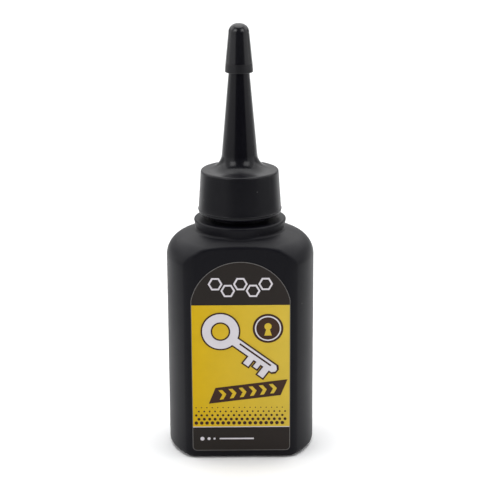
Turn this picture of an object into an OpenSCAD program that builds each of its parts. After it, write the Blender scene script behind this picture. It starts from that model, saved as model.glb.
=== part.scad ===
// Squeeze bottle for dry graphite lock lubricant, with a screw-on spout and a push-on tip cap.
// Millimetres, +Z up, origin at the centre of the base, flat label panel facing -Y.

/* [Bottle] */
// Diameter across the round sides
body_d = 40; // [34:0.5:50]
// Depth across the two flat panels
body_depth = 28.6; // [26:0.1:32]
// Height of the straight side wall
wall_h = 54.2; // [40:0.1:90]
// Wall thickness
wall = 1.1; // [0.8:0.1:1.6]
// Rounding where the flat panels meet the round sides
edge_r = 1.5; // [0.8:0.1:2]
// Rounding of the base edge
base_r = 1.6; // [0.8:0.1:2.4]
// Rounding where the side wall turns into the shoulder
shoulder_r = 6; // [3:0.5:7]
// Slope of the shoulder above its rounding, in degrees
shoulder_slope = 21.7; // [10:0.1:30]
// Slope of the flat facet between each panel and the shoulder, in degrees
facet_slope = 40; // [34:1:60]
// How far the facet lowers the panel's upper edge
facet_drop = 0.7; // [0.3:0.1:1.2]
// Diameter of the raised dish under the base
dish_d = 22; // [14:0.5:24]
// Depth of that dish
dish_h = 0.9; // [0.4:0.1:1.5]

/* [Neck] */
// Outside diameter of the neck, without its thread
neck_d = 15.6; // [13:0.1:17]
// Wall of the neck
neck_wall = 1.8; // [1.2:0.1:2.4]
// Height of the neck above the collar
neck_h = 10.1; // [8:0.1:14]
// Height of the collar ring on the shoulder
collar_h = 2.95; // [2:0.05:5]
// How much narrower the collar is at its foot than at its top, each side
collar_draft = 0.5; // [0:0.05:0.8]
// How far the collar stands out past the nozzle
collar_step = 1.25; // [0.5:0.05:2]
// Rounding of the collar's upper edge
collar_r = 0.5; // [0.2:0.1:0.8]

/* [Sealing washer] */
// Thickness of the washer
washer_t = 1; // [0.6:0.1:1.6]
// Width of the washer's ring
washer_w = 2.9; // [2:0.1:3.6]
// Gap between the washer and the faces that press on it
seat_gap = 0.05; // [0.02:0.01:0.1]

/* [Nozzle] */
// Depth of the neck's screw thread
thread_depth = 1.05; // [0.8:0.05:1.2]
// Radial clearance between the thread's crest and the skirt
thread_gap = 0.3; // [0.15:0.05:0.5]
// Wall of the skirt at its top
skirt_wall = 1.35; // [0.8:0.05:2]
// How much wider the skirt is at its foot than at its top, each side
skirt_flare = 0.7; // [0.3:0.1:1.5]
// Gap between the collar and the skirt's foot
skirt_gap = 1.3; // [0.8:0.1:2]
// Rounding of the skirt's foot
foot_r = 0.9; // [0.3:0.1:1.2]
// Rounding of the rim round the top of the skirt
rim_r = 0.6; // [0.3:0.1:0.9]
// Thickness of the deck that closes the skirt
deck_t = 2.1; // [1.4:0.1:3]
// Height of the spout above the deck
spout_h = 36; // [24:0.5:50]
// Diameter of the spout's cone where it would meet the deck
spout_root_d = 10.3; // [9:0.1:12]
// Diameter of the spout's end
spout_tip_d = 3.8; // [3.2:0.1:5]
// Wall of the spout
spout_wall = 1; // [0.8:0.05:1.3]
// Rounding between the spout and the deck
flare_r = 4.5; // [2:0.1:5]

/* [Tip cap] */
// Length of spout that the cap covers
cap_grip = 9.7; // [7:0.1:14]
// Clearance between the cap's socket and the spout
cap_gap = 0.08; // [0.05:0.01:0.15]
// Wall of the cap at its rim
cap_rim_wall = 0.86; // [0.6:0.02:1.2]
// Wall of the cap beside the spout's end
cap_top_wall = 0.78; // [0.5:0.02:1]
// Height of the lip at the cap's rim
cap_lip_h = 2.4; // [0.8:0.1:3]
// How much the lip narrows towards its top, each side
cap_lip_draft = 0.13; // [0:0.01:0.2]
// Air space between the spout's end and the cap
cap_air = 0.6; // [0.3:0.1:1.2]
// Thickness of the cap's closed end
cap_head = 2.55; // [2.2:0.05:4]
// Rounding of the cap's closed end
cap_round = 2.4; // [1.2:0.1:2.5]

/* [Label and contents] */
// Thickness of the label film
label_t = 0.12; // [0.08:0.01:0.3]
// Gap between the label and the edge of the flat panel
label_margin = 0.12; // [0.05:0.01:1]
// Gap between the label and the base
label_base_gap = 2.2; // [2:0.1:8]
// Gap between the top of the label's arch and the panel's upper edge
label_top_gap = 3.9; // [2:0.1:12]
// Rise of the label's arch
label_arch_h = 10.7; // [6:0.1:12]
// Rounding of the label's lower corners
label_corner_r = 1.2; // [0.4:0.1:3]
// Depth of the powder above the inside of the base
powder_h = 38; // [10:1:44]
// Gap between the powder and the bottle's walls
powder_gap = 0.15; // [0.05:0.05:0.3]

/* [Hidden] */
$fn = 96;
arc_steps = 12;
// Overshoot of cuts past the faces they go through
cut_past = 1;
// The rounded panel edges swing in by this much, so that they cross the round wall and don't graze it
edge_lap = 0.02;

body_r = body_d / 2;
flat_y = body_depth / 2;
neck_r = neck_d / 2;
mouth_r = neck_r - neck_wall;
skirt_bore_r = neck_r + thread_depth + thread_gap;
deck_r = skirt_bore_r + skirt_wall;
skirt_foot_r = deck_r + skirt_flare;
collar_out_r = skirt_foot_r + collar_step;
collar_foot_r = collar_out_r - collar_draft;

// The shoulder's rounding ends where its slope is reached
shoulder_c = [body_r - shoulder_r, wall_h];
slope_r = shoulder_c.x + shoulder_r * sin(shoulder_slope);
slope_z = shoulder_c.y + shoulder_r * cos(shoulder_slope);
collar_z = slope_z + (slope_r - collar_foot_r) * tan(shoulder_slope);
collar_top_z = collar_z + collar_h;
neck_top_z = collar_top_z + neck_h;
panel_top_z = slope_z + (slope_r - flat_y) * tan(shoulder_slope) - facet_drop;

// Inside of the shoulder, one wall below its outside
inner_r = shoulder_r - wall;
inner_slope_r = shoulder_c.x + inner_r * sin(shoulder_slope);
inner_slope_z = shoulder_c.y + inner_r * cos(shoulder_slope);
inner_collar_r = collar_foot_r - wall;
inner_collar_z = inner_slope_z + (inner_slope_r - inner_collar_r) * tan(shoulder_slope);
inner_base_r = max(base_r - wall, wall / 2);

washer_z = neck_top_z + seat_gap;
washer_out_r = neck_r + thread_depth;
ceiling_z = washer_z + washer_t + seat_gap;
deck_z = ceiling_z + deck_t;
skirt_z = collar_top_z + skirt_gap;

// The spout is a cone: its radius falls by spout_fall for each millimetre of height
spout_root_r = spout_root_d / 2;
spout_tip_r = spout_tip_d / 2;
spout_tip_z = deck_z + spout_h;
spout_fall = (spout_root_r - spout_tip_r) / spout_h;
spout_lean = atan(spout_fall);
flare_reach = 1 / cos(spout_lean) - spout_fall;
flare = min(flare_r, (deck_r - rim_r - spout_root_r) / flare_reach);
flare_c = [spout_root_r + flare * flare_reach, deck_z + flare];

cap_z = spout_tip_z - cap_grip;
cap_lip_z = cap_z + cap_lip_h;
cap_top_z = spout_tip_z + cap_air + cap_head;
cap_rim_r = spout_r(cap_z) + cap_gap + cap_rim_wall;
cap_end_r = spout_tip_r + cap_gap + cap_top_wall;

// Flat part of the panel, between the rounded edges
edge_c = [sqrt(pow(body_r + edge_lap - edge_r, 2) - pow(flat_y - edge_r, 2)), flat_y - edge_r];
edge_turn = atan2(edge_c.y, edge_c.x);
label_half = edge_c.x - label_margin;
label_top_z = panel_top_z - label_top_gap;
powder_z = wall + dish_h + powder_h;

// Outside radius of the spout's cone at a height
function spout_r(z) = spout_root_r - spout_fall * (z - deck_z);

// Points of an arc about centre c, from angle a to angle b
function arc(c, r, a, b) =
    [for (i = [0 : arc_steps]) let (t = a + (b - a) * i / arc_steps) c + r * [cos(t), sin(t)]];

// Half section of the bottle's outside, from the base dish to the neck's rim
function bottle_outside() = concat(
    [[0, dish_h], [dish_d / 2, 0]],
    arc([body_r - base_r, base_r], base_r, -90, 0),
    arc(shoulder_c, shoulder_r, 0, 90 - shoulder_slope),
    [[collar_foot_r, collar_z]],
    arc([collar_out_r - collar_r, collar_top_z - collar_r], collar_r, 0, 90),
    [[neck_r, collar_top_z], [neck_r, neck_top_z], [0, neck_top_z]]);

// Half section of the hollow, one wall inside; gap draws it in further, for the contents
function bottle_inside(gap) = concat(
    [[0, dish_h + wall + gap], [dish_d / 2, wall + gap]],
    arc([body_r - wall - inner_base_r, wall + inner_base_r], inner_base_r - gap, -90, 0),
    arc(shoulder_c, inner_r - gap, 0, 90 - shoulder_slope),
    [[inner_collar_r, inner_collar_z - gap], [inner_collar_r, collar_top_z - wall],
     [mouth_r, collar_top_z - wall], [mouth_r, neck_top_z + cut_past], [0, neck_top_z + cut_past]]);

// Plan of the bottle: flat front and back, rounded where they run into the sides
module panel_plan() {
    corner = arc(edge_c, edge_r, 90, edge_turn);
    side_tip = [[(body_r + edge_lap) / cos(edge_turn), 0]];
    right = concat(corner, side_tip, [for (i = [arc_steps : -1 : 0]) [corner[i].x, -corner[i].y]]);
    polygon(concat(right, [for (i = [len(right) - 1 : -1 : 0]) [-right[i].x, right[i].y]]));
}

// Slab between two flat panels: its lower edges are rounded, and a facet above each panel stops at the collar
module panel_slab(inset, low_z, round_r) {
    half_y = flat_y - inset;
    edge_z = panel_top_z - inset * tan((90 - facet_slope) / 2);
    end_y = collar_out_r + edge_lap - inset;
    lower = arc([half_y - round_r, low_z + round_r], round_r, -90, 0);
    facet = [[half_y, edge_z], [end_y, edge_z + (half_y - end_y) * tan(facet_slope)]];
    section = concat(lower, facet, [[end_y, neck_top_z + 2 * cut_past]]);
    mirrored = [for (i = [len(section) - 1 : -1 : 0]) [-section[i].x, section[i].y]];
    rotate([90, 0, 90])
        linear_extrude(height = body_d + 2 * cut_past, center = true)
            polygon(concat(section, mirrored));
}

module bottle_hollow(gap) {
    intersection() {
        rotate_extrude()
            polygon(bottle_inside(gap));
        panel_slab(wall + gap, wall + gap, inner_base_r - gap);
    }
}

module bottle() {
    color("#1c1c1e")
        difference() {
            intersection() {
                rotate_extrude()
                    polygon(bottle_outside());
                panel_slab(0, 0, base_r);
                translate([0, 0, -cut_past])
                    linear_extrude(height = neck_top_z + 2 * cut_past)
                        panel_plan();
            }
            bottle_hollow(0);
        }
}

// Film label: straight sides, rounded lower corners and an arched top
module front_label() {
    arch_h = min(label_arch_h, label_half);
    arch_r = (pow(label_half, 2) + pow(arch_h, 2)) / (2 * arch_h);
    arch_turn = asin(label_half / arch_r);
    low_c = [label_half - label_corner_r, label_base_gap + label_corner_r];
    color("#e8b62a")
        translate([0, -flat_y, 0])
            rotate([90, 0, 0])
                linear_extrude(height = label_t)
                    polygon(concat(
                        arc([-low_c.x, low_c.y], label_corner_r, 180, 270),
                        arc(low_c, label_corner_r, 270, 360),
                        arc([0, label_top_z - arch_r], arch_r, 90 - arch_turn, 90 + arch_turn)));
}

// Powder that fills the hollow up to a level
module graphite_powder() {
    color("#3a3a3d")
        intersection() {
            bottle_hollow(powder_gap);
            translate([-body_r, -body_r, 0])
                cube([body_d, body_d, powder_z]);
        }
}

module sealing_washer() {
    color("#d9d9d4")
        translate([0, 0, washer_z])
            difference() {
                cylinder(r = washer_out_r, h = washer_t);
                translate([0, 0, -cut_past])
                    cylinder(r = washer_out_r - washer_w, h = washer_t + 2 * cut_past);
            }
}

// Skirt, deck and hollow spout in one moulding
module nozzle() {
    channel_r = spout_root_r - spout_wall;
    orifice_r = spout_tip_r - spout_wall;
    outside = concat(
        [[0, skirt_z]],
        arc([skirt_foot_r - foot_r, skirt_z + foot_r], foot_r, -90, 0),
        arc([deck_r - rim_r, deck_z - rim_r], rim_r, 0, 90),
        arc(flare_c, flare, 270, 180 + spout_lean),
        [[spout_tip_r, spout_tip_z], [0, spout_tip_z]]);
    channel = [
        [0, ceiling_z - cut_past], [channel_r + spout_fall * (deck_t + cut_past), ceiling_z - cut_past],
        [orifice_r - spout_fall * cut_past, spout_tip_z + cut_past], [0, spout_tip_z + cut_past]];
    color("#151516")
        difference() {
            rotate_extrude()
                polygon(outside);
            translate([0, 0, skirt_z - cut_past])
                cylinder(r = skirt_bore_r, h = ceiling_z - skirt_z + cut_past);
            rotate_extrude()
                polygon(channel);
        }
}

// Cap with a tapered socket that grips the end of the spout
module tip_cap() {
    outside = concat(
        [[0, cap_z], [cap_rim_r, cap_z], [cap_rim_r - cap_lip_draft, cap_lip_z]],
        arc([cap_end_r - cap_round, cap_top_z - cap_round], cap_round, 0, 90),
        [[0, cap_top_z]]);
    socket_end_z = spout_tip_z + cap_air;
    socket = [
        [0, cap_z - cut_past], [spout_r(cap_z - cut_past) + cap_gap, cap_z - cut_past],
        [spout_r(socket_end_z) + cap_gap, socket_end_z], [0, socket_end_z]];
    color("#151516")
        difference() {
            rotate_extrude()
                polygon(outside);
            rotate_extrude()
                polygon(socket);
        }
}

bottle();
front_label();
graphite_powder();
sealing_washer();
nozzle();
tip_cap();
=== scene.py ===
import math
import bpy
import numpy as np
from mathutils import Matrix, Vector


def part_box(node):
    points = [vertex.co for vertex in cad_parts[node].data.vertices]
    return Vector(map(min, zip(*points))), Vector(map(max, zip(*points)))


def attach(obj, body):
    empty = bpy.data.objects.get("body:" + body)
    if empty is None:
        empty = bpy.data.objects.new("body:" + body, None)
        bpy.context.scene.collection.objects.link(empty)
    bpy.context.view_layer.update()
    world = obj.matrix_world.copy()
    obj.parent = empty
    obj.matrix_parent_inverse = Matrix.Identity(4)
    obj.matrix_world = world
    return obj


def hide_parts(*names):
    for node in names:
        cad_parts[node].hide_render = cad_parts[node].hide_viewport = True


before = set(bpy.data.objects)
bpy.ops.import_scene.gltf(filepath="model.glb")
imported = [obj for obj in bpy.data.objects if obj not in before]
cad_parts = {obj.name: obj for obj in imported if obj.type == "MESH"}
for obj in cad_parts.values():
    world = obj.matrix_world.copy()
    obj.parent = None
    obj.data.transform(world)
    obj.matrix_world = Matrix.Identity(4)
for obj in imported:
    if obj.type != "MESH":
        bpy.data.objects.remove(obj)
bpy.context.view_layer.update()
print("frame loaded:", sorted(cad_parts))

# Shapes are worked out in millimetres, as in the CAD source, and stored in metres.
mm = 0.001


def nodeBox(name):
    # low and high corner of a CAD node, in millimetres
    low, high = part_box(name)
    return np.array(low) / mm, np.array(high) / mm


bottleHigh = nodeBox("bottle")[1]
labelLow, labelHigh = nodeBox("front_label")
washerHigh = nodeBox("sealing_washer")[1]
nozzleLow, nozzleHigh = nodeBox("nozzle")
capLow, capHigh = nodeBox("tip_cap")


# Meshes

def arcPoints(centre, radius, fromDeg, toDeg, steps):
    # points of a circle about a centre, from one angle to another
    angle = np.radians(np.linspace(fromDeg, toDeg, steps + 1))
    return np.stack([centre[0] + radius * np.cos(angle), centre[1] + radius * np.sin(angle)], 1)


def linePoints(start, end, steps):
    # evenly spaced points on a straight line, both ends included
    share = np.linspace(0.0, 1.0, steps + 1)[:, None]
    return np.array(start) * (1 - share) + np.array(end) * share


def joinRuns(*runs):
    # one run of points after another, with points that repeat taken out
    samePoint = 1e-6
    path = np.vstack(runs)
    step = np.hypot(*np.diff(path, axis=0).T)
    return path[np.concatenate([[True], step > samePoint])]


def ringRows(profile, angle):
    # surface of revolution: radius and height from the profile, at each of the given angles
    radius = profile[:, 0][:, None]
    height = np.broadcast_to(profile[:, 1][:, None], (len(profile), len(angle)))
    return np.stack([radius * np.cos(angle), radius * np.sin(angle), height], 2)


def lathe(profile, sides):
    # surface of revolution with its angles spread evenly all round
    return ringRows(profile, np.linspace(0, 2 * np.pi, sides, endpoint=False))


def gridFaces(rows, cols, closeRows=False, closeCols=True):
    # quads between neighbours of a grid, which may also join its last row or column to the first
    row = np.arange(rows if closeRows else rows - 1)[:, None]
    col = np.arange(cols if closeCols else cols - 1)[None, :]
    nextRow = (row + 1) % rows
    nextCol = (col + 1) % cols
    quads = [row * cols + col, row * cols + nextCol, nextRow * cols + nextCol, nextRow * cols + col]
    return np.stack([q.reshape(-1) for q in np.broadcast_arrays(*quads)], 1)


def fanFaces(pole, ring):
    # triangles from a pole to a closed ring
    return np.stack([np.full(len(ring), pole), ring, np.roll(ring, -1)], 1)


def signedVolume(points, faces):
    # sum of the tetrahedra under the fan of each face
    total = 0.0
    for face in faces:
        corner = points[face]
        for i in range(1, face.shape[1] - 1):
            cross = np.cross(corner[:, i], corner[:, i + 1])
            total += np.einsum("ij,ij->", corner[:, 0], cross)
    return total / 6


def newObject(name, data):
    # puts a mesh, a lamp or a camera into the scene
    holder = bpy.data.objects.new(name, data)
    bpy.context.scene.collection.objects.link(holder)
    return holder


def meshPiece(name, points, faces, sharpDeg=30):
    # a smooth mesh whose edges stay sharp past an angle
    mesh = bpy.data.meshes.new(name)
    mesh.from_pydata((np.asarray(points) * mm).tolist(), [], faces)
    mesh.polygons.foreach_set("use_smooth", np.ones(len(mesh.polygons), bool))
    mesh.set_sharp_from_angle(angle=math.radians(sharpDeg))
    mesh.update()
    return newObject(name, mesh)


def shellPiece(name, grid, poles=(None, None), closeRows=False, sharpDeg=38):
    # a closed shell from a grid of points, with a point at each end where it has poles
    rows, cols = grid.shape[:2]
    points = grid.reshape(-1, 3)
    faces = [gridFaces(rows, cols, closeRows)]
    ringEnds = [np.arange(cols)[::-1], (rows - 1) * cols + np.arange(cols)]
    for pole, ring in zip(poles, ringEnds):
        if pole is not None:
            points = np.vstack([points, [pole]])
            faces.append(fanFaces(len(points) - 1, ring))
    if signedVolume(points, faces) < 0:
        faces = [face[:, ::-1] for face in faces]
    return meshPiece(name, points, [f for face in faces for f in face.tolist()], sharpDeg)


def dress(piece, material, body, slot, *nodes):
    # gives a piece its material and body, and hides the CAD nodes that it stands in for; the slot argument is
    # not used
    piece.data.materials.append(material)
    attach(piece, body)
    if nodes:
        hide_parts(*nodes)


# Materials

# sockets of a Mix node that hold colours, and those that hold plain values
toneA, toneB, toneOut = 6, 7, 2
valueA, valueB = 2, 3


def nodeMaker(tree):
    # returns a function that adds a node, sets its values and links its inputs
    def add(kind, values=None, **links):
        node = tree.nodes.new(kind)
        for key, value in (values or {}).items():
            if isinstance(value, bpy.types.NodeSocket):
                tree.links.new(value, node.inputs[key])
            elif isinstance(key, int) or key in node.inputs:
                node.inputs[key].default_value = value
            else:
                setattr(node, key, value)
        for key, source in links.items():
            tree.links.new(source, node.inputs[key.replace("_", " ")])
        return node
    return add


def newMaterial(name, constants):
    # a material with constants on its shader's own sockets, and a function that adds nodes to it
    material = bpy.data.materials.new(name)
    material.use_nodes = True
    tree = material.node_tree
    for socket, value in constants.items():
        tree.nodes["Principled BSDF"].inputs[socket].default_value = value
    return material, nodeMaker(tree)


def linkMaps(material, **maps):
    # each map feeds the shader's socket of the same name
    tree = material.node_tree
    for key, source in maps.items():
        tree.links.new(source, tree.nodes["Principled BSDF"].inputs[key.replace("_", " ")])


def mixTones(add, low, high, share):
    # colour that runs from one tone at share 0 to the other at share 1
    mix = add("ShaderNodeMix", {"data_type": "RGBA", toneA: low + (1,), toneB: high + (1,)}, Factor=share)
    return mix.outputs[toneOut]


def spreadValue(add, limits, share):
    # value that runs from one limit at share 0 to the other at share 1
    spread = add("ShaderNodeMapRange", {"To Min": limits[0], "To Max": limits[1]}, Value=share)
    return spread.outputs["Result"]


def bumpNormal(add, look, height):
    # normal from a height map, with the look's own strength and depth
    bump = add("ShaderNodeBump", {"Strength": look["grainStrength"], "Distance": look["grainDepth"]},
               Height=height)
    return bump.outputs["Normal"]


def newGroup(name, inputs, outputs):
    # a node group with named sockets, a function that adds nodes to it, and its two ends
    group = bpy.data.node_groups.new(name, "ShaderNodeTree")
    for label, kind, value in inputs:
        socket = group.interface.new_socket(label, in_out="INPUT", socket_type=kind)
        if value is not None:
            socket.default_value = value
    for label, kind in outputs:
        group.interface.new_socket(label, in_out="OUTPUT", socket_type=kind)
    return group, nodeMaker(group), group.nodes.new("NodeGroupInput"), group.nodes.new("NodeGroupOutput")


grainLook = {"fineScale": 2600.0, "fineDetail": 3.0, "fineRough": 0.55,
             "broadScale": 70.0, "broadDetail": 4.0, "broadRough": 0.6}
scuffLook = {"speckScale": 420.0, "speckSize": 0.1, "speckAbove": 0.93, "streakFloor": 0.66,
             "streakFull": 0.8, "streakTurn": (0.3, 0.9, 0.5), "streakStretch": (900.0, 60.0, 60.0),
             "streakDetail": 2.0}


def makeGrainGroup(look):
    # moulding grain: a fine noise for height, and a broad one for patchy gloss
    group, add, given, result = newGroup(
        "mouldGrain",
        [("Vector", "NodeSocketVector", None), ("Fine", "NodeSocketFloat", look["fineScale"]),
         ("Broad", "NodeSocketFloat", look["broadScale"])],
        [("Height", "NodeSocketFloat"), ("Patch", "NodeSocketFloat")])
    fine = add("ShaderNodeTexNoise", {"Detail": look["fineDetail"], "Roughness": look["fineRough"]},
               Vector=given.outputs["Vector"], Scale=given.outputs["Fine"])
    broad = add("ShaderNodeTexNoise", {"Detail": look["broadDetail"], "Roughness": look["broadRough"]},
                Vector=given.outputs["Vector"], Scale=given.outputs["Broad"])
    group.links.new(fine.outputs["Fac"], result.inputs["Height"])
    group.links.new(broad.outputs["Fac"], result.inputs["Patch"])
    return group


def makeScuffGroup(look):
    # handling marks: thin streaks from stretched noise, and dust specks from a few of many small cells
    group, add, given, result = newGroup(
        "handlingScuffs",
        [("Vector", "NodeSocketVector", None), ("Speck Scale", "NodeSocketFloat", look["speckScale"]),
         ("Speck Size", "NodeSocketFloat", look["speckSize"]),
         ("Streak Floor", "NodeSocketFloat", look["streakFloor"])],
        [("Specks", "NodeSocketFloat"), ("Streaks", "NodeSocketFloat")])
    cells = add("ShaderNodeTexVoronoi", {"Randomness": 1.0},
                Vector=given.outputs["Vector"], Scale=given.outputs["Speck Scale"])
    near = add("ShaderNodeMath", {"operation": "LESS_THAN", 0: cells.outputs["Distance"],
                                  1: given.outputs["Speck Size"]})
    pick = add("ShaderNodeSeparateColor", None, Color=cells.outputs["Color"])
    rare = add("ShaderNodeMath", {"operation": "GREATER_THAN", 0: pick.outputs["Red"], 1: look["speckAbove"]})
    speck = add("ShaderNodeMath", {"operation": "MULTIPLY", 0: near.outputs[0], 1: rare.outputs[0]})
    turned = add("ShaderNodeMapping", {"Rotation": look["streakTurn"], "Scale": look["streakStretch"]},
                 Vector=given.outputs["Vector"])
    streak = add("ShaderNodeTexNoise", {"Scale": 1.0, "Detail": look["streakDetail"]},
                 Vector=turned.outputs["Vector"])
    cut = add("ShaderNodeMapRange", {"From Max": look["streakFull"]},
              Value=streak.outputs["Fac"], From_Min=given.outputs["Streak Floor"])
    group.links.new(speck.outputs[0], result.inputs["Specks"])
    group.links.new(cut.outputs["Result"], result.inputs["Streaks"])
    return group


grainGroup = makeGrainGroup(grainLook)
scuffGroup = makeScuffGroup(scuffLook)


def plastic(name, look, baseZ):
    # moulded plastic: near-black colour, patchy gloss, fine grain and a few marks,
    # with a matte finish up to a rise above its base height
    material, add = newMaterial(name, {"IOR": look["ior"], "Specular IOR Level": look["specular"]})
    place = add("ShaderNodeTexCoord").outputs["Object"]
    grain = add("ShaderNodeGroup", {"node_tree": grainGroup, "Fine": look["grainScale"]}, Vector=place)
    scuffs = add("ShaderNodeGroup", {"node_tree": scuffGroup, "Speck Size": look["speckSize"],
                                     "Streak Floor": look["streakFloor"]}, Vector=place)
    body = mixTones(add, look["dark"], look["light"], grain.outputs["Patch"])
    worn = add("ShaderNodeMath", {"operation": "MULTIPLY", 0: scuffs.outputs["Streaks"],
                                  1: look["streakShow"]})
    marks = add("ShaderNodeMath", {"operation": "MAXIMUM", 0: scuffs.outputs["Specks"], 1: worn.outputs[0]})
    colour = add("ShaderNodeMix", {"data_type": "RGBA", toneA: body, toneB: look["dust"] + (1,)},
                 Factor=marks.outputs[0])
    gloss = spreadValue(add, look["gloss"], grain.outputs["Patch"])
    split = add("ShaderNodeSeparateXYZ", None, Vector=place)
    matteTop, blend = baseZ + look["matteRise"], look["matteBlend"]
    shine = add("ShaderNodeMapRange", {"From Min": (matteTop - blend) * mm,
                                       "From Max": (matteTop + blend) * mm}, Value=split.outputs["Z"])
    finish = add("ShaderNodeMix", {"data_type": "FLOAT", valueA: look["matte"], valueB: gloss},
                 Factor=shine.outputs["Result"])
    linkMaps(material, Base_Color=colour.outputs[toneOut], Roughness=finish.outputs[0],
             Normal=bumpNormal(add, look, grain.outputs["Height"]))
    return material


# the bottle's matte rise lies under its base, so that all of it is satin
bottlePlasticLook = {
    "dark": (0.0015, 0.0014, 0.0034), "light": (0.0036, 0.0034, 0.006), "dust": (0.03, 0.03, 0.03),
    "gloss": (0.36, 0.48), "matte": 0.5, "matteRise": -1.0, "matteBlend": 0.1, "ior": 1.5, "specular": 0.125,
    "grainScale": 2600.0, "grainStrength": 0.12, "grainDepth": 0.00003,
    "speckSize": 0.1, "streakFloor": 0.68, "streakShow": 0.18}
nozzlePlasticLook = {
    "dark": (0.0016, 0.0015, 0.0032), "light": (0.0034, 0.0032, 0.0055), "dust": (0.035, 0.035, 0.035),
    "gloss": (0.18, 0.26), "matte": 0.34, "matteRise": 3.3, "matteBlend": 0.1, "ior": 1.5, "specular": 0.2,
    "grainScale": 3400.0, "grainStrength": 0.05, "grainDepth": 0.00002,
    "speckSize": 0.08, "streakFloor": 0.7, "streakShow": 0.12}
capPlasticLook = {**nozzlePlasticLook, "specular": 0.32, "matte": 0.44, "matteRise": 2.4}
bottlePlastic = plastic("satin_black_bottle", bottlePlasticLook, 0.0)
nozzlePlastic = plastic("smooth_black_nozzle", nozzlePlasticLook, washerHigh[2])
capPlastic = plastic("smooth_black_cap", capPlasticLook, capLow[2])


def printInkWithSheen(name, look):
    # printed film: each ink's own colour with a painted sheen, its tone paler towards the label's right side
    # where the right softbox's reflection falls, and slight ink mottle
    material, add = newMaterial(name, {"Specular IOR Level": look["specular"]})
    place = add("ShaderNodeTexCoord").outputs["Object"]
    split = add("ShaderNodeSeparateXYZ", None, Vector=place)
    across = add("ShaderNodeMapRange", {"From Min": labelLow[0] * mm, "From Max": labelHigh[0] * mm},
                 Value=split.outputs["X"])
    # painted sheen: the ink's own tone at the left runs to a paler, sheen-lit tone at the right
    inkAndSheen = mixTones(add, look["left"], look["right"], across.outputs["Result"])
    grain = add("ShaderNodeGroup", {"node_tree": grainGroup, "Broad": look["mottleScale"]}, Vector=place)
    mottle = spreadValue(add, (1 - look["mottle"], 1 + look["mottle"]), grain.outputs["Patch"])
    ink = add("ShaderNodeMix", {"data_type": "RGBA", "blend_type": "MULTIPLY", "Factor": 1.0,
                                toneA: inkAndSheen, toneB: mottle})
    linkMaps(material, Base_Color=ink.outputs[toneOut],
             Roughness=spreadValue(add, look["gloss"], grain.outputs["Patch"]),
             Normal=bumpNormal(add, look, grain.outputs["Height"]))
    return material


# each ink's left tone is its own colour; its paler right tone holds a painted sheen
inkTonesWithSheen = {
    # the film black's warm brown tint is partly the film's own colour and partly a painted reflection
    "filmBlack": {"left": (0.016, 0.0125, 0.0105), "right": (0.019, 0.0145, 0.0125)},
    "bandYellow": {"left": (0.6, 0.382, 0.0), "right": (0.61, 0.44, 0.05)},
    "markBrown": {"left": (0.04, 0.016, 0.009), "right": (0.045, 0.02, 0.012)},
    "palePrint": {"left": (0.62, 0.59, 0.63), "right": (0.66, 0.63, 0.66)},
    "cutEdgeAndHighlight": {"left": (0.13, 0.125, 0.12), "right": (0.13, 0.125, 0.12)}}
inkShared = {"specular": 0.13, "gloss": (0.26, 0.36), "mottle": 0.08, "mottleScale": 240.0,
             "grainStrength": 0.05, "grainDepth": 0.00002}
inks = {name: printInkWithSheen("label_" + name, {**inkShared, **tones}) for name, tones in inkTonesWithSheen.items()}


def powderMaterial(look):
    # graphite: dark grey with a fine sparkle from small cells
    material, add = newMaterial("graphite_powder", {})
    place = add("ShaderNodeTexCoord").outputs["Object"]
    cells = add("ShaderNodeTexVoronoi", {"Scale": look["grainScale"]}, Vector=place)
    split = add("ShaderNodeSeparateColor", None, Color=cells.outputs["Color"])
    linkMaps(material, Base_Color=mixTones(add, look["dark"], look["light"], split.outputs["Red"]),
             Roughness=spreadValue(add, look["gloss"], split.outputs["Green"]),
             Metallic=spreadValue(add, look["metal"], split.outputs["Blue"]),
             Normal=bumpNormal(add, look, cells.outputs["Distance"]))
    return material


def foamMaterial(look):
    # closed foam: pale body with small dark cells
    material, add = newMaterial("washer_foam", {})
    place = add("ShaderNodeTexCoord").outputs["Object"]
    distance = add("ShaderNodeTexVoronoi", {"Scale": look["cellScale"]}, Vector=place).outputs["Distance"]
    linkMaps(material, Base_Color=mixTones(add, look["cell"], look["body"], distance),
             Roughness=spreadValue(add, look["gloss"], distance),
             Normal=bumpNormal(add, look, distance))
    return material


graphite = powderMaterial({
    "dark": (0.018, 0.018, 0.02), "light": (0.09, 0.09, 0.095), "gloss": (0.35, 0.8), "metal": (0.2, 0.7),
    "grainScale": 3000.0, "grainStrength": 0.5, "grainDepth": 0.0001})
washerFoam = foamMaterial({
    "cell": (0.42, 0.42, 0.4), "body": (0.72, 0.72, 0.7), "gloss": (0.6, 0.85),
    "cellScale": 1800.0, "grainStrength": 0.3, "grainDepth": 0.00005})
print("materials made:", len(bpy.data.materials))


# Bottle

bottle = {
    "wallHeight": 54.2, "wallThickness": 1.1, "panelEdgeRound": 1.5, "baseRound": 1.6,
    "shoulderRound": 6.0, "shoulderSlope": 21.7, "facetSlope": 40.0, "facetDrop": 0.7, "facetRound": 0.8,
    "creaseRound": 0.45, "creaseFrom": 54.5, "creaseTo": 58.5, "dishRadius": 11.0, "dishDepth": 0.9,
    "collarStep": 1.25, "collarDraft": 0.5, "collarRound": 0.5, "collarFillet": 0.7, "skirtGap": 1.3,
    "neckWall": 1.8, "lipRound": 0.3, "threadDepth": 1.05,
    "lowAxis": 8.0, "highAxis": 50.0, "cornerElevation": -14, "innerElevation": -84, "halvings": 40,
    "angleRuns": ((0, 40, 22), (40, 54, 30), (54, 90, 24)),
    "dishRows": 12, "baseRows": 44, "cornerRows": 6, "wallRows": 12, "shoulderRows": 132, "filletRows": 8,
    "innerBaseRows": 14, "innerShoulderRows": 16}
bodyR = round(bottleHigh[0], 1)
flatY = bottleHigh[1]
neckTop = bottleHigh[2]
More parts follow.
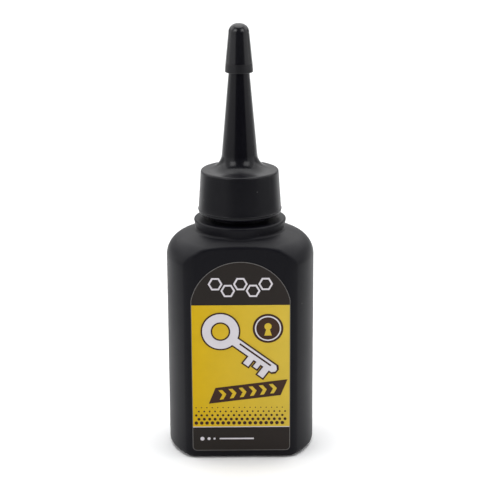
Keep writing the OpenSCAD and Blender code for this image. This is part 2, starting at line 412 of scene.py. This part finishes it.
neckR = washerHigh[0] - bottle["threadDepth"]
mouthR = neckR - bottle["neckWall"]
skirtFootR = nozzleHigh[0]
skirtZ = nozzleLow[2]
collarTop = skirtZ - bottle["skirtGap"]
collarOutR = skirtFootR + bottle["collarStep"]
collarFootR = collarOutR - bottle["collarDraft"]
slopeAngle = math.radians(bottle["shoulderSlope"])
shoulderMid = (bodyR - bottle["shoulderRound"], bottle["wallHeight"])
slopeStart = (shoulderMid[0] + bottle["shoulderRound"] * math.sin(slopeAngle),
              shoulderMid[1] + bottle["shoulderRound"] * math.cos(slopeAngle))
collarFootZ = slopeStart[1] + (slopeStart[0] - collarFootR) * math.tan(slopeAngle)
facetAngle = math.radians(bottle["facetSlope"])
panelTop = slopeStart[1] + (slopeStart[0] - flatY) * math.tan(slopeAngle) - bottle["facetDrop"]


def roundMeet(a, b, radius):
    # where two faces meet: the larger distance, with the edge between them rounded to a radius
    u = np.maximum(radius + a, 0)
    v = np.maximum(radius + b, 0)
    return np.minimum(-radius, np.maximum(a, b)) + np.hypot(u, v)


def bodyField(point):
    # signed distance from the bottle's outside: round wall, shoulder arc and slope, cut by panels and facets
    radius, z = np.hypot(point[..., 0], point[..., 1]), point[..., 2]
    out = radius - shoulderMid[0]
    up = z - shoulderMid[1]
    wall = radius - bodyR
    arc = np.hypot(out, up) - bottle["shoulderRound"]
    slope = (radius - slopeStart[0]) * math.sin(slopeAngle) + (z - slopeStart[1]) * math.cos(slopeAngle)
    onSlope = np.arctan2(up, out) > math.pi / 2 - slopeAngle
    side = np.where(up < 0, wall, np.where(onSlope, slope, arc))
    panel = np.abs(point[..., 1]) - flatY
    facet = panel * math.sin(facetAngle) + (z - panelTop) * math.cos(facetAngle)
    side = roundMeet(side, facet, bottle["facetRound"])
    share = np.clip((z - bottle["creaseFrom"]) / (bottle["creaseTo"] - bottle["creaseFrom"]), 0, 1)
    ease = share * share * (3 - 2 * share)
    edgeRound = bottle["panelEdgeRound"] * (1 - ease) + bottle["creaseRound"] * ease
    rounded = roundMeet(side, panel, edgeRound)
    return roundMeet(rounded, -z, bottle["baseRound"])


def bodyRows(elevations, axisZ, angle, depth):
    # rays from points on the axis, each stopped by halving where it lies at a depth under the outside
    elevation = np.radians(elevations)[:, None]
    ray = np.stack([np.cos(elevation) * np.cos(angle), np.cos(elevation) * np.sin(angle),
                    np.sin(elevation) * np.ones_like(angle)], 2)
    start = np.zeros(ray.shape)
    start[..., 2] = axisZ[:, None]
    near = np.zeros(ray.shape[:2])
    far = np.full(ray.shape[:2], 2 * bodyR)
    for halving in range(bottle["halvings"]):
        middle = (near + far) / 2
        inside = bodyField(start + ray * middle[..., None]) < -depth
        near = np.where(inside, middle, near)
        far = np.where(inside, far, middle)
    return start + ray * near[..., None]


def panelAngles():
    # angles all round, closer together where the flat panels run into the round sides
    quarter = np.concatenate([np.linspace(*run, endpoint=False) for run in bottle["angleRuns"]])
    mirrored = 180 - quarter[:0:-1]
    half = np.concatenate([quarter, [90], mirrored])
    return np.radians(np.concatenate([half, half + 180]))


def dishRise(radius):
    # the base is raised in the middle by a smooth cosine dish
    share = np.clip(radius / bottle["dishRadius"], 0, 1)
    return bottle["dishDepth"] * (1 + np.cos(np.pi * share)) / 2


def bodyRun(depth, baseElevations, topElevation, topRows):
    # the whole body at one depth: base round the dish, straight wall, then shoulder up to the collar
    angle = panelAngles()
    low, high = bottle["lowAxis"], bottle["highAxis"]
    base = bodyRows(baseElevations, np.full(len(baseElevations), low), angle, depth)
    wallZ = np.linspace(low, high, bottle["wallRows"])[1:]
    wall = bodyRows(np.zeros(len(wallZ)), wallZ, angle, depth)
    rise = np.linspace(0, topElevation, topRows)[1:]
    top = bodyRows(rise, np.full(len(rise), high), angle, depth)
    return np.concatenate([base, wall, top])


def filletPoints(corner, alongA, alongB, radius, steps):
    # arc that touches both lines of an inner corner, from the first line to the second
    a, b = np.array(alongA), np.array(alongB)
    half = math.acos(a @ b) / 2
    middle = np.array(corner) + (a + b) / np.hypot(*(a + b)) * radius / math.sin(half)
    reach = radius / math.tan(half)
    spokes = linePoints(corner + a * reach - middle, corner + b * reach - middle, steps)
    return middle + spokes / np.hypot(spokes[:, 0], spokes[:, 1])[:, None] * radius


def collarFoot(angle, outer, fillet):
    # fillet rows all round, drawn at their lower edge to where the facets leave the shoulder
    share = np.linspace(1, 0, len(fillet))[:, None, None]
    rows = ringRows(fillet, angle)
    return rows + (outer[-1] - rows[0]) * share


def makeBottle():
    # one shell: dish, base, wall, shoulder, collar and neck outside, then down the inside to its floor
    angle = panelAngles()
    low, high = bottle["lowAxis"], bottle["highAxis"]
    skin, rim, lip = bottle["wallThickness"], bottle["collarRound"], bottle["lipRound"]
    dishRadii = np.linspace(0, bottle["dishRadius"], bottle["dishRows"])[1:]
    dish = ringRows(np.stack([dishRadii, dishRise(dishRadii)], 1), angle)
    dishEdge = -math.degrees(math.atan2(low, bottle["dishRadius"]))
    lean = math.atan2(bottle["collarDraft"], collarTop - rim - collarFootZ)
    fillet = filletPoints((collarFootR, collarFootZ), (math.cos(slopeAngle), -math.sin(slopeAngle)),
                          (math.sin(lean), math.cos(lean)), bottle["collarFillet"], bottle["filletRows"])
    corner = bottle["cornerElevation"]
    base = np.concatenate([np.linspace(dishEdge, corner, bottle["baseRows"])[1:],
                           np.linspace(corner, 0, bottle["cornerRows"])[1:]])
    outerTop = math.degrees(math.atan2(fillet[0, 1] - high, fillet[0, 0]))
    outer = bodyRun(0.0, base, outerTop, bottle["shoulderRows"])
    foot = collarFoot(angle, outer, fillet)
    collar = ringRows(joinRuns(
        linePoints(fillet[-1], (collarOutR, collarTop - rim), 3)[1:],
        arcPoints((collarOutR - rim, collarTop - rim), rim, 0, 90, 6),
        linePoints((collarOutR - rim, collarTop), (neckR, collarTop), 4),
        linePoints((neckR, collarTop), (neckR, neckTop - lip), 4),
        arcPoints((neckR - lip, neckTop - lip), lip, 0, 90, 4),
        linePoints((neckR - lip, neckTop), (mouthR, neckTop), 3),
        linePoints((mouthR, neckTop), (mouthR, collarTop - skin), 4),
        linePoints((mouthR, collarTop - skin), (collarFootR - skin, collarTop - skin), 4)), angle)
    innerTopZ = collarFootZ + math.tan(slopeAngle) * skin - skin / math.cos(slopeAngle)
    innerTop = math.degrees(math.atan2(innerTopZ - high, collarFootR - skin))
    innerBase = np.linspace(bottle["innerElevation"], 0, bottle["innerBaseRows"])[1:]
    inner = bodyRun(skin, innerBase, innerTop, bottle["innerShoulderRows"])[::-1]
    innerRadius = np.hypot(inner[..., 0], inner[..., 1])
    onFloor = inner[..., 2] < low / 2
    inner[..., 2] += np.where(onFloor, dishRise(innerRadius), 0)
    grid = np.concatenate([dish, outer, foot[1:], collar, inner])
    poles = ((0, 0, bottle["dishDepth"]), (0, 0, skin + bottle["dishDepth"]))
    return shellPiece("bottle_shell", grid, poles)


dress(makeBottle(), bottlePlastic, "bottle", "bottle_plastic", "bottle")
print("bottle made")


# Screw thread on the neck and inside the skirt

thread = {
    "pitch": 3.175, "neckStart": 66.9, "neckTurns": 1.75, "skirtStart": 68.5, "skirtTurns": 1.5,
    "root": 1.5, "crest": 0.6, "skirtDepth": 0.95, "sink": 0.15, "gap": 0.05,
    "taperTurns": 0.12, "endHeight": 0.02, "endWidth": 0.4, "stepsPerTurn": 96, "sharpDeg": 25}


def threadPiece(name, wallR, crestR, startZ, turns):
    # ridge with a four-sided section carried along a helix, shrinking into the wall at both ends
    along = np.linspace(0, turns, int(turns * thread["stepsPerTurn"]))
    height = np.clip(np.minimum(along, turns - along) / thread["taperTurns"], thread["endHeight"], 1)
    width = thread["endWidth"] + (1 - thread["endWidth"]) * height
    sinkR = wallR - np.sign(crestR - wallR) * thread["sink"]
    reach = wallR + (crestR - wallR) * height
    half = thread["root"] / 2
    tip = thread["crest"] / 2
    radius = np.stack([np.full_like(reach, sinkR), reach, reach, np.full_like(reach, sinkR)], 1)
    offset = np.array([-half, -tip, tip, half])[None, :] * width[:, None]
    angle = (2 * np.pi * along)[:, None]
    z = startZ + thread["pitch"] * along[:, None] + offset
    grid = np.stack([radius * np.cos(angle), radius * np.sin(angle), z], 2)
    ends = (grid[0].mean(0), grid[-1].mean(0))
    return shellPiece(name, grid, ends, sharpDeg=thread["sharpDeg"])


neckThread = threadPiece("neck_thread", neckR, neckR + bottle["threadDepth"] - thread["gap"],
                         thread["neckStart"], thread["neckTurns"])
dress(neckThread, bottlePlastic, "bottle", "bottle_plastic")
print("neck thread made")


# Nozzle

nozzle = {
    "skirtFlare": 0.7, "footRound": 0.9, "beadRadius": 0.14, "beadRise": 1.25, "beadSpan": 80,
    "rimRound": 0.6, "deckThickness": 2.1, "threadGap": 0.3, "spoutRootRadius": 5.15, "spoutTipRadius": 1.9,
    "spoutWall": 1.0, "tipRound": 0.25, "flareRound": 4.5, "seatGap": 0.05, "sides": 160}
deckR = skirtFootR - nozzle["skirtFlare"]
skirtBoreR = neckR + bottle["threadDepth"] + nozzle["threadGap"]
ceilingZ = washerHigh[2] + nozzle["seatGap"]
deckZ = ceilingZ + nozzle["deckThickness"]
spoutTipZ = nozzleHigh[2]
spoutFall = (nozzle["spoutRootRadius"] - nozzle["spoutTipRadius"]) / (spoutTipZ - deckZ)
spoutLean = math.degrees(math.atan(spoutFall))


def spoutPoint(z, offset=0.0):
    # point at a height on the spout's cone, which narrows evenly upwards, moved sideways by an offset
    return nozzle["spoutRootRadius"] - spoutFall * (z - deckZ) + offset, z


def skirtPoint(z):
    # point at a height on the skirt's side, which draws in evenly from its foot to its rim
    share = (z - skirtZ - nozzle["footRound"]) / (deckZ - nozzle["rimRound"] - skirtZ - nozzle["footRound"])
    return skirtFootR + (deckR - skirtFootR) * share, z


def makeNozzle():
    # half section turned about the axis: skirt with its parting bead, rim, deck, flare and spout outside,
    # then channel and bore inside
    foot, rim, flare = nozzle["footRound"], nozzle["rimRound"], nozzle["flareRound"]
    tip, wall, span = nozzle["tipRound"], nozzle["spoutWall"], nozzle["beadSpan"]
    flareMid = (nozzle["spoutRootRadius"] + flare * (1 / math.cos(math.radians(spoutLean)) - spoutFall),
                deckZ + flare)
    section = joinRuns(
        linePoints((skirtBoreR, skirtZ), (skirtFootR - foot, skirtZ), 3),
        arcPoints((skirtFootR - foot, skirtZ + foot), foot, -90, 0, 10),
        arcPoints(skirtPoint(skirtZ + nozzle["beadRise"]), nozzle["beadRadius"], -span, span, 8),
        linePoints(skirtPoint(skirtZ + 2 * foot), (deckR, deckZ - rim), 10),
        arcPoints((deckR - rim, deckZ - rim), rim, 0, 90, 10),
        arcPoints(flareMid, flare, 270, 180 + spoutLean, 24),
        linePoints(spoutPoint(deckZ + flare), spoutPoint(spoutTipZ - tip), 24),
        arcPoints((nozzle["spoutTipRadius"] - tip, spoutTipZ - tip), tip, 0, 90, 4),
        linePoints(spoutPoint(spoutTipZ, -wall), spoutPoint(ceilingZ, -wall), 20),
        linePoints(spoutPoint(ceilingZ, -wall), (skirtBoreR, ceilingZ), 4),
        linePoints((skirtBoreR, ceilingZ), (skirtBoreR, skirtZ), 6)[:-1])
    return shellPiece("spout_nozzle", lathe(section, nozzle["sides"]), closeRows=True)


dress(makeNozzle(), nozzlePlastic, "nozzle", "nozzle_plastic", "nozzle")
skirtThread = threadPiece("skirt_thread", skirtBoreR, skirtBoreR - thread["skirtDepth"],
                          thread["skirtStart"], thread["skirtTurns"])
dress(skirtThread, nozzlePlastic, "nozzle", "nozzle_plastic")
print("nozzle made")


# Tip cap

cap = {"lipHeight": 2.4, "lipDraft": 0.13, "rimRound": 0.2, "endRound": 2.4, "endRadius": 2.76, "air": 0.6,
       "gap": 0.08, "endHub": 0.15, "socketHub": 0.3, "sides": 128, "sharpDeg": 30}


def makeTipCap():
    # half section turned about the axis: domed end, cone, lip, then the tapered socket inside
    rimR, rimZ, topZ = capHigh[0], capLow[2], capHigh[2]
    lipZ = rimZ + cap["lipHeight"]
    dome, rim, gap = cap["endRound"], cap["rimRound"], cap["gap"]
    domeMid = (cap["endRadius"] - dome, topZ - dome)
    socketZ = spoutTipZ + cap["air"]
    section = joinRuns(
        linePoints((cap["endHub"], topZ), (domeMid[0], topZ), 2),
        arcPoints(domeMid, dome, 90, 0, 18),
        linePoints((cap["endRadius"], domeMid[1]), (rimR - cap["lipDraft"], lipZ), 14),
        linePoints((rimR - cap["lipDraft"], lipZ), (rimR, rimZ + rim), 4),
        arcPoints((rimR - rim, rimZ + rim), rim, 0, -90, 5),
        linePoints((rimR - rim, rimZ), spoutPoint(rimZ, gap), 2),
        linePoints(spoutPoint(rimZ, gap), spoutPoint(socketZ, gap), 10),
        linePoints(spoutPoint(socketZ, gap), (cap["socketHub"], socketZ), 2))
    poles = ((0, 0, topZ), (0, 0, socketZ))
    return shellPiece("spout_tip_cap", lathe(section, cap["sides"]), poles, sharpDeg=cap["sharpDeg"])


dress(makeTipCap(), capPlastic, "tip_cap", "nozzle_plastic", "tip_cap")
print("tip cap made")


# Label: film, cut edge and printed shapes, each a thin layer in front of the last; the grey cut edge rim is
# partly the film's pale core and partly a painted highlight

label = {
    "archRise": 10.7, "cornerRound": 1.2, "cutEdgeAndHighlight": 0.17, "inkStep": 0.02,
    "bandLow": 9.05, "bandHigh": 43.95}
labelHalf = labelHigh[0]
labelBase = labelLow[2]
labelTop = labelHigh[2]
filmFront = labelLow[1]


def labelOutline(inset):
    # rounded lower corners, straight sides and a circular arch, all drawn in by an inset
    half = labelHalf - inset
    archR = (labelHalf ** 2 + label["archRise"] ** 2) / (2 * label["archRise"])
    archMid = labelTop - archR
    spread = math.degrees(math.asin(half / (archR - inset)))
    corner = label["cornerRound"] - inset
    low = labelBase + label["cornerRound"]
    side = labelHalf - label["cornerRound"]
    return joinRuns(
        arcPoints((-side, low), corner, 180, 270, 8),
        arcPoints((side, low), corner, 270, 360, 8),
        arcPoints((0, archMid), archR - inset, 90 - spread, 90 + spread, 64))


def layerPiece(name, outlines, layer, thickness):
    # closed plates: each outline is filled at the front and back, with a wall round it
    frontY = filmFront - layer * label["inkStep"]
    points, faces = [], []
    for outline in outlines:
        count = len(outline)
        first = sum(len(p) for p in points)
        front = np.stack([outline[:, 0], np.full(count, frontY), outline[:, 1]], 1)
        back = front + [0, thickness, 0]
        points += [front, back]
        ring = np.arange(count)
        after = np.roll(ring, -1)
        walls = np.stack([ring, ring + count, after + count, after], 1) + first
        faces += [(ring + first).tolist(), (ring[::-1] + count + first).tolist()] + walls.tolist()
    return meshPiece(name, np.vstack(points), faces)


def boxOutline(low, high):
    # four corners of a rectangle, anticlockwise
    return np.array([(low[0], low[1]), (high[0], low[1]), (high[0], high[1]), (low[0], high[1])])


def discOutline(middle, radius, sides):
    # corners of a regular polygon about its middle
    return arcPoints(middle, radius, 0, 360, sides)[:-1]


filmDepth = labelHigh[1] - labelLow[1]
# flat grey rim round the film: its pale cut core, and a painted highlight along the cut edge
dress(layerPiece("label_cut_edge", [labelOutline(0)], 0, filmDepth), inks["cutEdgeAndHighlight"], "bottle", "label_film",
      "front_label")
dress(layerPiece("label_film", [labelOutline(label["cutEdgeAndHighlight"])], 0.5, label["inkStep"]), inks["filmBlack"],
      "bottle", "label_film")
bandHalf = labelHalf - label["cutEdgeAndHighlight"]
band = boxOutline((-bandHalf, label["bandLow"]), (bandHalf, label["bandHigh"]))
dress(layerPiece("label_band", [band], 1.5, label["inkStep"]), inks["bandYellow"], "bottle", "label_film")


def placed(outline, middle, tiltDeg):
    # an outline turned by an angle and moved to its place on the label
    tilt = math.radians(tiltDeg)
    turn = np.array([[math.cos(tilt), math.sin(tilt)], [-math.sin(tilt), math.cos(tilt)]])
    return np.asarray(outline) @ turn + np.array(middle)


art = {
    "keyPlace": (-5.4, 36.6), "keyTilt": -37.0, "bowRadius": 4.9, "bowHole": 2.2, "shaftHalf": 1.15,
    "shaftLength": 18.6, "tipBevel": 0.8, "outline": 0.42, "groove": (6.2, 16.6, 0.3, 0.24),
    "teeth": ((10.2, 11.9, 2.4), (12.9, 14.2, 1.6), (15.2, 17.0, 2.7)), "bowSides": 48,
    "platePlace": (7.3, 37.4), "plateRadius": 4.1, "plateRing": 3.5, "plateFace": 3.15, "plateSides": 64,
    "holeRise": 0.55, "holeRadius": 0.95, "holeSpan": (-60, 240), "slotHalf": 1.0, "slotDrop": 2.0,
    "bannerPlace": (1.9, 19.4), "bannerTilt": 7.0, "bannerSize": (19.6, 4.3), "bannerSlant": 1.2,
    "chevrons": 6, "chevronStep": 2.75, "chevronWidth": 1.05, "chevronReach": 0.95, "chevronHalf": 1.35,
    "dotRows": 5, "dotStep": (1.46, 1.12), "dotLow": 10.3, "dotRadii": (0.5, 0.17), "dotSpan": 12.2,
    "dotSlack": 0.01, "dotSides": 16, "chainPlace": (0.0, 48.9), "chainStep": 3.35, "chainSwing": 0.95,
    "chainCells": 5, "cellRadius": 1.95, "cellInner": 1.42, "cellSides": 6,
    "footMarks": ((-10.6, 0.55), (-8.8, 0.42), (-7.3, 0.3)), "footLevel": 5.7, "footSides": 24,
    "footBar": ((-5.9, 5.5), (3.4, 5.9)), "bandLine": 0.18}


def keyOutline(grow):
    # key seen flat: round bow, straight shaft with teeth on one side and a bevelled tip,
    # all grown by a margin
    radius, half = art["bowRadius"] + grow, art["shaftHalf"] + grow
    end, bevel = art["shaftLength"] + grow, art["tipBevel"]
    join = math.degrees(math.asin(half / radius))
    teeth = [[(a - grow, -half), (a - grow, -half - deep), (b + grow, -half - deep), (b + grow, -half)]
             for a, b, deep in art["teeth"]]
    side = np.array([corner for tooth in teeth for corner in tooth])
    tip = np.array([(end - bevel, -half), (end, bevel - half), (end, half - bevel), (end - bevel, half)])
    path = joinRuns(arcPoints((0, 0), radius, join, 360 - join, 56), side, tip)
    return placed(path, art["keyPlace"], art["keyTilt"])


def keyholeOutline():
    # round hole above a slot that widens downwards
    hole = arcPoints((0, art["holeRise"]), art["holeRadius"], *art["holeSpan"], 28)
    slot = np.array([(-art["slotHalf"], -art["slotDrop"]), (art["slotHalf"], -art["slotDrop"])])
    return joinRuns(hole, slot) + np.array(art["platePlace"])


def bannerOutline():
    # slanted bar, turned about its middle
    (length, height), slant = art["bannerSize"], art["bannerSlant"]
    path = np.array([(-length / 2 - slant, -height / 2), (length / 2 - slant, -height / 2),
                     (length / 2 + slant, height / 2), (-length / 2 + slant, height / 2)])
    return placed(path, art["bannerPlace"], art["bannerTilt"])


def chevronOutline(at):
    # one arrow-shaped bar of the banner, pointing along it
    width, reach, half = art["chevronWidth"], art["chevronReach"], art["chevronHalf"]
    path = np.array([(0, -half), (width, -half), (width + reach, 0), (width, half), (0, half), (reach, 0)])
    return placed(path + [at, 0], art["bannerPlace"], art["bannerTilt"])


def dotOutlines():
    # staggered rows of dots that get smaller upwards
    outlines = []
    for row in range(art["dotRows"]):
        share = row / (art["dotRows"] - 1)
        radius = art["dotRadii"][0] * (1 - share) + art["dotRadii"][1] * share
        start = -art["dotSpan"] + (row % 2) * art["dotStep"][0] / 2
        z = art["dotLow"] + row * art["dotStep"][1]
        for x in np.arange(start, art["dotSpan"] + art["dotSlack"], art["dotStep"][0]):
            outlines.append(discOutline((x, z), radius, art["dotSides"]))
    return outlines


def chainOutlines(radius):
    # a row of six-sided cells, by turns above and below its middle line
    cells = art["chainCells"]
    middles = [(art["chainPlace"][0] + (i - (cells - 1) / 2) * art["chainStep"],
                art["chainPlace"][1] + (-1) ** i * art["chainSwing"]) for i in range(cells)]
    return [discOutline(middle, radius, art["cellSides"]) for middle in middles]


def makeLabelArt():
    # each print is a name, its outlines, its layer and its ink
    first = -art["chevronStep"] * (art["chevrons"] - 1) / 2 - art["chevronWidth"]
    chevrons = [chevronOutline(first + i * art["chevronStep"]) for i in range(art["chevrons"])]
    marks = [discOutline((x, art["footLevel"]), radius, art["footSides"]) for x, radius in art["footMarks"]]
    start, end, level, half = art["groove"]
    groove = placed(boxOutline((start, level - half), (end, level + half)), art["keyPlace"], art["keyTilt"])
    line = boxOutline((-bandHalf, label["bandLow"]), (bandHalf, label["bandLow"] + art["bandLine"]))
    plate, ring, face = [discOutline(art["platePlace"], art[size], art["plateSides"])
                         for size in ("plateRadius", "plateRing", "plateFace")]
    bowEdge, bowHole = [discOutline(art["keyPlace"], art["bowHole"] + grow, art["bowSides"])
                        for grow in (art["outline"], 0.0)]
    prints = [
        ("label_band_line", [line], 2.5, "palePrint"),
        ("label_dots", dotOutlines(), 2.5, "markBrown"),
        ("label_banner", [bannerOutline()], 3.5, "markBrown"),
        ("label_chevrons", chevrons, 4.5, "bandYellow"),
        ("label_plate", [plate], 2.5, "markBrown"),
        ("label_plate_ring", [ring], 3.5, "palePrint"),
        ("label_plate_face", [face], 4.5, "markBrown"),
        ("label_keyhole", [keyholeOutline()], 5.5, "bandYellow"),
        ("label_key_edge", [keyOutline(art["outline"])], 5.5, "markBrown"),
        ("label_key", [keyOutline(0.0)], 6.5, "palePrint"),
        ("label_key_groove", [groove], 7.5, "markBrown"),
        ("label_bow_edge", [bowEdge], 7.5, "markBrown"),
        ("label_bow_hole", [bowHole], 8.5, "bandYellow"),
        ("label_chain", chainOutlines(art["cellRadius"]), 1.5, "palePrint"),
        ("label_chain_cells", chainOutlines(art["cellInner"]), 2.5, "filmBlack"),
        ("label_foot_marks", marks + [boxOutline(*art["footBar"])], 1.5, "palePrint")]
    for name, outlines, layer, ink in prints:
        dress(layerPiece(name, outlines, layer, label["inkStep"]), inks[ink], "bottle", "label_film")


makeLabelArt()
print("label made")


# Washer and powder stay inside, out of sight

for node, material in (("sealing_washer", washerFoam), ("graphite_powder", graphite)):
    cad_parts[node].data.materials.clear()
    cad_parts[node].data.materials.append(material)
print("inner pieces dressed")


# Floor, light and camera: the studio in metres, the camera in millimetres

studio = {
    "floorSize": 8.0, "floorLevel": -0.0001, "floorTone": (0.9, 0.9, 0.9),
    "floorRough": 0.9, "floorShine": 0.1, "worldTone": (0.95, 0.97, 1.0), "worldStrength": 0.22,
    "skyPower": 3.3, "skySpread": 62.0, "skyTilt": 12.0,
    "boxes": {
        "left_box": ((-0.55, -0.3, 0.4), (1.1, 0.8), 3.2),
        "right_box": ((0.55, -0.16, 0.4), (0.6, 0.8), 1.85)},
    "cardFar": 4.0, "cardBay": (0.2, 0.3), "cardBack": 0.2, "cardLevel": 0.0004,
    "bandReach": 1.3, "bandSteps": (24, 8), "bands": {
        "low_band": ((-85, 85), (0, 22), 0.6), "high_band": ((-85, 85), (22, 60), 2.1),
        "left_strip": ((-152, -118), (25, 50), 4.5), "right_strip": ((118, 152), (25, 50), 4.5)},
    "domeRadius": 2.5, "domeRise": 88, "domeSteps": (48, 24), "domeGlow": 1.0}
cameraView = {"distance": 407.0, "height": 175.6, "pitch": 16.14, "focalPixels": 1557.0, "imagePixels": 480,
              "sensor": 36.0, "aside": 0.0, "roll": 0.35, "clipStart": 10.0}


def makeFloor():
    # one flat sheet, a hair below the base so that the two faces never lie in one plane
    half, level = studio["floorSize"] / 2 / mm, studio["floorLevel"] / mm
    corners = np.column_stack([boxOutline((-half, -half), (half, half)), np.full(4, level)])
    floor = meshPiece("floor", corners, [(0, 1, 2, 3)])
    floor.data.materials.append(newMaterial("pale_floor", {
        "Base Color": studio["floorTone"] + (1,), "Roughness": studio["floorRough"],
        "Specular IOR Level": studio["floorShine"]})[0])


def glowMaterial(name, glow):
    # no colour and no shine of its own, only an even glow
    return newMaterial(name, {
        "Base Color": (0.0, 0.0, 0.0, 1), "Specular IOR Level": 0.0,
        "Emission Color": (1.0, 1.0, 1.0, 1), "Emission Strength": glow})[0]


def reflectedSheet(name, points, faces, glow):
    # a sheet that only reflections see
    sheet = meshPiece(name, points, faces.tolist())
    sheet.data.materials.append(glowMaterial(name, glow))
    sheet.visible_camera = False
    sheet.visible_diffuse = False
    sheet.visible_shadow = False


def makeBlackCard():
    # black card round a bay for the part: it keeps the front of the spout dark
    far, back, (side, front) = studio["cardFar"], studio["cardBack"], studio["cardBay"]
    sheets = [((-far, -far), (far, -front)), ((-far, -front), (-side, back)), ((side, -front), (far, back))]
    corners = np.vstack([boxOutline(low, high) for low, high in sheets]) / mm
    points = np.column_stack([corners, np.full(len(corners), studio["cardLevel"] / mm)])
    reflectedSheet("black_card", points, np.arange(len(points)).reshape(-1, 4), 0.0)


def makePaleCards():
    # patches of a sphere round the part, by turn from behind and by rise:
    # the shoulder, the spout's foot and the cap reflect them
    reach = studio["bandReach"] / mm
    cols, rows = studio["bandSteps"]
    for name, (turns, rises, glow) in studio["bands"].items():
        turn = np.radians(np.linspace(*turns, cols))[None, :]
        rise = np.radians(np.linspace(*rises, rows))[:, None]
        across, deep = np.cos(rise) * np.sin(turn), np.cos(rise) * np.cos(turn)
        patch = reach * np.stack(np.broadcast_arrays(across, deep, np.sin(rise)), 2)
        reflectedSheet(name, patch.reshape(-1, 3), gridFaces(rows, cols, closeCols=False), glow)


def makeBackdrop():
    # white dome behind everything, seen by the camera only, so that each view has the same plain ground
    radius = studio["domeRadius"] / mm
    sides, rows = studio["domeSteps"]
    profile = arcPoints((0, 0), radius, -studio["domeRise"], studio["domeRise"], rows - 1)
    dome = shellPiece("backdrop", lathe(profile, sides), ((0, 0, -radius), (0, 0, radius)))
    dome.data.materials.append(glowMaterial("white_backdrop", studio["domeGlow"]))
    dome.visible_diffuse = False
    dome.visible_glossy = False
    dome.visible_shadow = False


def softbox(name, place, size, power):
    # upright light that faces the part's axis from the side
    lamp = bpy.data.lights.new(name, "AREA")
    lamp.shape = "RECTANGLE"
    lamp.size, lamp.size_y = size
    lamp.energy = power
    holder = newObject(name, lamp)
    holder.location = place
    holder.rotation_euler = (math.radians(90), 0, math.copysign(math.radians(90), place[0]))
    holder.visible_camera = False


def makeSky():
    # wide soft light from above and behind, which lights the floor evenly
    lamp = bpy.data.lights.new("sky", "SUN")
    lamp.energy = studio["skyPower"]
    lamp.angle = math.radians(studio["skySpread"])
    newObject("sky", lamp).rotation_euler = (-math.radians(studio["skyTilt"]), 0, 0)


def makeStudio():
    # floor, cards and backdrop first, then the world's even light and the lamps
    makeFloor()
    makeBlackCard()
    makePaleCards()
    makeBackdrop()
    world = bpy.data.worlds.new("studio")
    bpy.context.scene.world = world
    world.use_nodes = True
    backdrop = world.node_tree.nodes["Background"]
    backdrop.inputs["Color"].default_value = studio["worldTone"] + (1,)
    backdrop.inputs["Strength"].default_value = studio["worldStrength"]
    makeSky()
    for name, (place, size, power) in studio["boxes"].items():
        softbox(name, place, size, power)
    bpy.context.scene.view_settings.view_transform = "Standard"


def makeCamera():
    # lens and place fitted to the photograph
    lens = bpy.data.cameras.new("camera")
    lens.sensor_width = cameraView["sensor"]
    lens.lens = cameraView["focalPixels"] / cameraView["imagePixels"] * cameraView["sensor"]
    lens.clip_start = cameraView["clipStart"] * mm
    camera = newObject("camera", lens)
    camera.location = np.array([cameraView["aside"], -cameraView["distance"], cameraView["height"]]) * mm
    pitch, roll = math.radians(cameraView["pitch"]), math.radians(cameraView["roll"])
    camera.rotation_euler = (math.pi / 2 - pitch, roll, -roll * math.sin(pitch))
    bpy.context.scene.camera = camera


makeStudio()
makeCamera()
print("studio and camera set")
